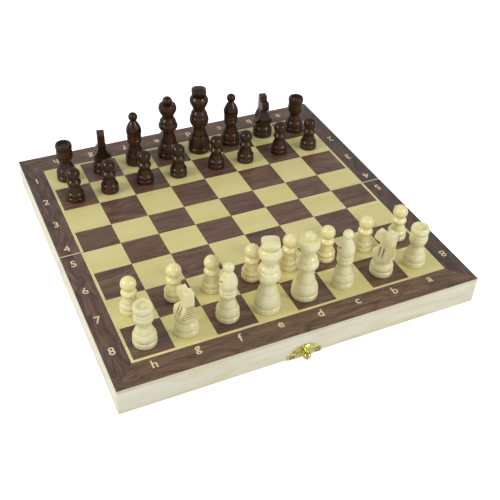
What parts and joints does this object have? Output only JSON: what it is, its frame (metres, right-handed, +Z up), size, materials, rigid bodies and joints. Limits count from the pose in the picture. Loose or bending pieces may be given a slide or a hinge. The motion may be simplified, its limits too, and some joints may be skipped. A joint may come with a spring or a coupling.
{
  "type": "folding chess board box",
  "caption": "Folding wooden chess board whose two tray halves shut rim to rim into a box, with brass hinges, a ball catch and a full set of turned men",
  "frame": {"origin": "under the middle of the fold, at the lowest point of the hinge knuckles, with the board open", "axes": "+X to the right along the fold, +Y to the far half that folds under, +Z up out of the playing surface"},
  "size_m": [0.3, 0.3111, 0.0924],
  "materials": {
    "pine": "planed pale wood, thin matt lacquer",
    "panel_ply": "thin board, edge showing",
    "walnut_border": "walnut veneer, satin lacquer",
    "stringing": "pale inlaid line, satin lacquer",
    "dark_veneer": "walnut veneer, satin lacquer",
    "light_veneer": "pale golden veneer, satin lacquer",
    "brass": "stamped brass plate",
    "brass_fasteners": "round heads",
    "steel_pin": "drawn wire",
    "light_men": "turned pale wood, gloss lacquer",
    "dark_men": "turned wood stained dark, gloss lacquer"
  },
  "bodies": {
    "near_half": {"near_panel": "panel_ply", "near_front_wall": "pine", "near_left_wall": "pine", "near_right_wall": "pine", "near_hinge_wall": "pine", "near_border": "walnut_border", "near_stringing": "stringing", "near_dark_squares": "dark_veneer", "near_light_squares": "light_veneer", "near_hinge_leaves": "brass", "near_hinge_screws": "brass_fasteners", "hinge_pins": "steel_pin", "catch_plate": "brass", "catch_nails": "brass_fasteners"},
    "far_half": {"far_panel": "panel_ply", "far_back_wall": "pine", "far_left_wall": "pine", "far_right_wall": "pine", "far_hinge_wall": "pine", "far_border": "walnut_border", "far_stringing": "stringing", "far_dark_squares": "dark_veneer", "far_light_squares": "light_veneer", "far_hinge_leaves": "brass", "far_hinge_screws": "brass_fasteners", "hasp_plate": "brass", "hasp_nails": "brass_fasteners"},
    "hasp": {"hasp_flap": "brass"},
    "light_rook_left": {"light_rook_left": "light_men"},
    "light_knight_left": {"light_knight_left": "light_men"},
    "light_bishop_left": {"light_bishop_left": "light_men"},
    "light_king": {"light_king": "light_men"},
    "light_queen": {"light_queen": "light_men"},
    "light_bishop_right": {"light_bishop_right": "light_men"},
    "light_knight_right": {"light_knight_right": "light_men"},
    "light_rook_right": {"light_rook_right": "light_men"},
    "light_pawn_1": {"light_pawn_1": "light_men"},
    "light_pawn_2": {"light_pawn_2": "light_men"},
    "light_pawn_3": {"light_pawn_3": "light_men"},
    "light_pawn_4": {"light_pawn_4": "light_men"},
    "light_pawn_5": {"light_pawn_5": "light_men"},
    "light_pawn_6": {"light_pawn_6": "light_men"},
    "light_pawn_7": {"light_pawn_7": "light_men"},
    "light_pawn_8": {"light_pawn_8": "light_men"},
    "dark_rook_left": {"dark_rook_left": "dark_men"},
    "dark_knight_left": {"dark_knight_left": "dark_men"},
    "dark_bishop_left": {"dark_bishop_left": "dark_men"},
    "dark_queen": {"dark_queen": "dark_men"},
    "dark_king": {"dark_king": "dark_men"},
    "dark_bishop_right": {"dark_bishop_right": "dark_men"},
    "dark_knight_right": {"dark_knight_right": "dark_men"},
    "dark_rook_right": {"dark_rook_right": "dark_men"},
    "dark_pawn_1": {"dark_pawn_1": "dark_men"},
    "dark_pawn_2": {"dark_pawn_2": "dark_men"},
    "dark_pawn_3": {"dark_pawn_3": "dark_men"},
    "dark_pawn_4": {"dark_pawn_4": "dark_men"},
    "dark_pawn_5": {"dark_pawn_5": "dark_men"},
    "dark_pawn_6": {"dark_pawn_6": "dark_men"},
    "dark_pawn_7": {"dark_pawn_7": "dark_men"},
    "dark_pawn_8": {"dark_pawn_8": "dark_men"}
  },
  "joints": [
    {"name": "fold", "type": "hinge", "parent": "near_half", "child": "far_half", "pos_m": [0, 0, 0.0011], "axis": [-1, 0, 0], "range_deg": [0, 180]},
    {"name": "hasp_swing", "type": "hinge", "parent": "far_half", "child": "hasp", "pos_m": [-0.005, 0.1521, 0.00965], "axis": [-1, 0, 0], "range_deg": [0, 180]},
    {"name": "lift_light_rook_left", "type": "slide", "parent": "near_half", "child": "light_rook_left", "axis": [0, 0, 1], "range_m": [0, 0.1]},
    {"name": "lift_light_knight_left", "type": "slide", "parent": "near_half", "child": "light_knight_left", "axis": [0, 0, 1], "range_m": [0, 0.1]},
    {"name": "lift_light_bishop_left", "type": "slide", "parent": "near_half", "child": "light_bishop_left", "axis": [0, 0, 1], "range_m": [0, 0.1]},
    {"name": "lift_light_king", "type": "slide", "parent": "near_half", "child": "light_king", "axis": [0, 0, 1], "range_m": [0, 0.1]},
    {"name": "lift_light_queen", "type": "slide", "parent": "near_half", "child": "light_queen", "axis": [0, 0, 1], "range_m": [0, 0.1]},
    {"name": "lift_light_bishop_right", "type": "slide", "parent": "near_half", "child": "light_bishop_right", "axis": [0, 0, 1], "range_m": [0, 0.1]},
    {"name": "lift_light_knight_right", "type": "slide", "parent": "near_half", "child": "light_knight_right", "axis": [0, 0, 1], "range_m": [0, 0.1]},
    {"name": "lift_light_rook_right", "type": "slide", "parent": "near_half", "child": "light_rook_right", "axis": [0, 0, 1], "range_m": [0, 0.1]},
    {"name": "lift_light_pawn_1", "type": "slide", "parent": "near_half", "child": "light_pawn_1", "axis": [0, 0, 1], "range_m": [0, 0.1]},
    {"name": "lift_light_pawn_2", "type": "slide", "parent": "near_half", "child": "light_pawn_2", "axis": [0, 0, 1], "range_m": [0, 0.1]},
    {"name": "lift_light_pawn_3", "type": "slide", "parent": "near_half", "child": "light_pawn_3", "axis": [0, 0, 1], "range_m": [0, 0.1]},
    {"name": "lift_light_pawn_4", "type": "slide", "parent": "near_half", "child": "light_pawn_4", "axis": [0, 0, 1], "range_m": [0, 0.1]},
    {"name": "lift_light_pawn_5", "type": "slide", "parent": "near_half", "child": "light_pawn_5", "axis": [0, 0, 1], "range_m": [0, 0.1]},
    {"name": "lift_light_pawn_6", "type": "slide", "parent": "near_half", "child": "light_pawn_6", "axis": [0, 0, 1], "range_m": [0, 0.1]},
    {"name": "lift_light_pawn_7", "type": "slide", "parent": "near_half", "child": "light_pawn_7", "axis": [0, 0, 1], "range_m": [0, 0.1]},
    {"name": "lift_light_pawn_8", "type": "slide", "parent": "near_half", "child": "light_pawn_8", "axis": [0, 0, 1], "range_m": [0, 0.1]},
    {"name": "lift_dark_rook_left", "type": "slide", "parent": "far_half", "child": "dark_rook_left", "axis": [0, 0, 1], "range_m": [0, 0.1]},
    {"name": "lift_dark_knight_left", "type": "slide", "parent": "far_half", "child": "dark_knight_left", "axis": [0, 0, 1], "range_m": [0, 0.1]},
    {"name": "lift_dark_bishop_left", "type": "slide", "parent": "far_half", "child": "dark_bishop_left", "axis": [0, 0, 1], "range_m": [0, 0.1]},
    {"name": "lift_dark_queen", "type": "slide", "parent": "far_half", "child": "dark_queen", "axis": [0, 0, 1], "range_m": [0, 0.1]},
    {"name": "lift_dark_king", "type": "slide", "parent": "far_half", "child": "dark_king", "axis": [0, 0, 1], "range_m": [0, 0.1]},
    {"name": "lift_dark_bishop_right", "type": "slide", "parent": "far_half", "child": "dark_bishop_right", "axis": [0, 0, 1], "range_m": [0, 0.1]},
    {"name": "lift_dark_knight_right", "type": "slide", "parent": "far_half", "child": "dark_knight_right", "axis": [0, 0, 1], "range_m": [0, 0.1]},
    {"name": "lift_dark_rook_right", "type": "slide", "parent": "far_half", "child": "dark_rook_right", "axis": [0, 0, 1], "range_m": [0, 0.1]},
    {"name": "lift_dark_pawn_1", "type": "slide", "parent": "far_half", "child": "dark_pawn_1", "axis": [0, 0, 1], "range_m": [0, 0.1]},
    {"name": "lift_dark_pawn_2", "type": "slide", "parent": "far_half", "child": "dark_pawn_2", "axis": [0, 0, 1], "range_m": [0, 0.1]},
    {"name": "lift_dark_pawn_3", "type": "slide", "parent": "far_half", "child": "dark_pawn_3", "axis": [0, 0, 1], "range_m": [0, 0.1]},
    {"name": "lift_dark_pawn_4", "type": "slide", "parent": "far_half", "child": "dark_pawn_4", "axis": [0, 0, 1], "range_m": [0, 0.1]},
    {"name": "lift_dark_pawn_5", "type": "slide", "parent": "far_half", "child": "dark_pawn_5", "axis": [0, 0, 1], "range_m": [0, 0.1]},
    {"name": "lift_dark_pawn_6", "type": "slide", "parent": "far_half", "child": "dark_pawn_6", "axis": [0, 0, 1], "range_m": [0, 0.1]},
    {"name": "lift_dark_pawn_7", "type": "slide", "parent": "far_half", "child": "dark_pawn_7", "axis": [0, 0, 1], "range_m": [0, 0.1]},
    {"name": "lift_dark_pawn_8", "type": "slide", "parent": "far_half", "child": "dark_pawn_8", "axis": [0, 0, 1], "range_m": [0, 0.1]}
  ]
}
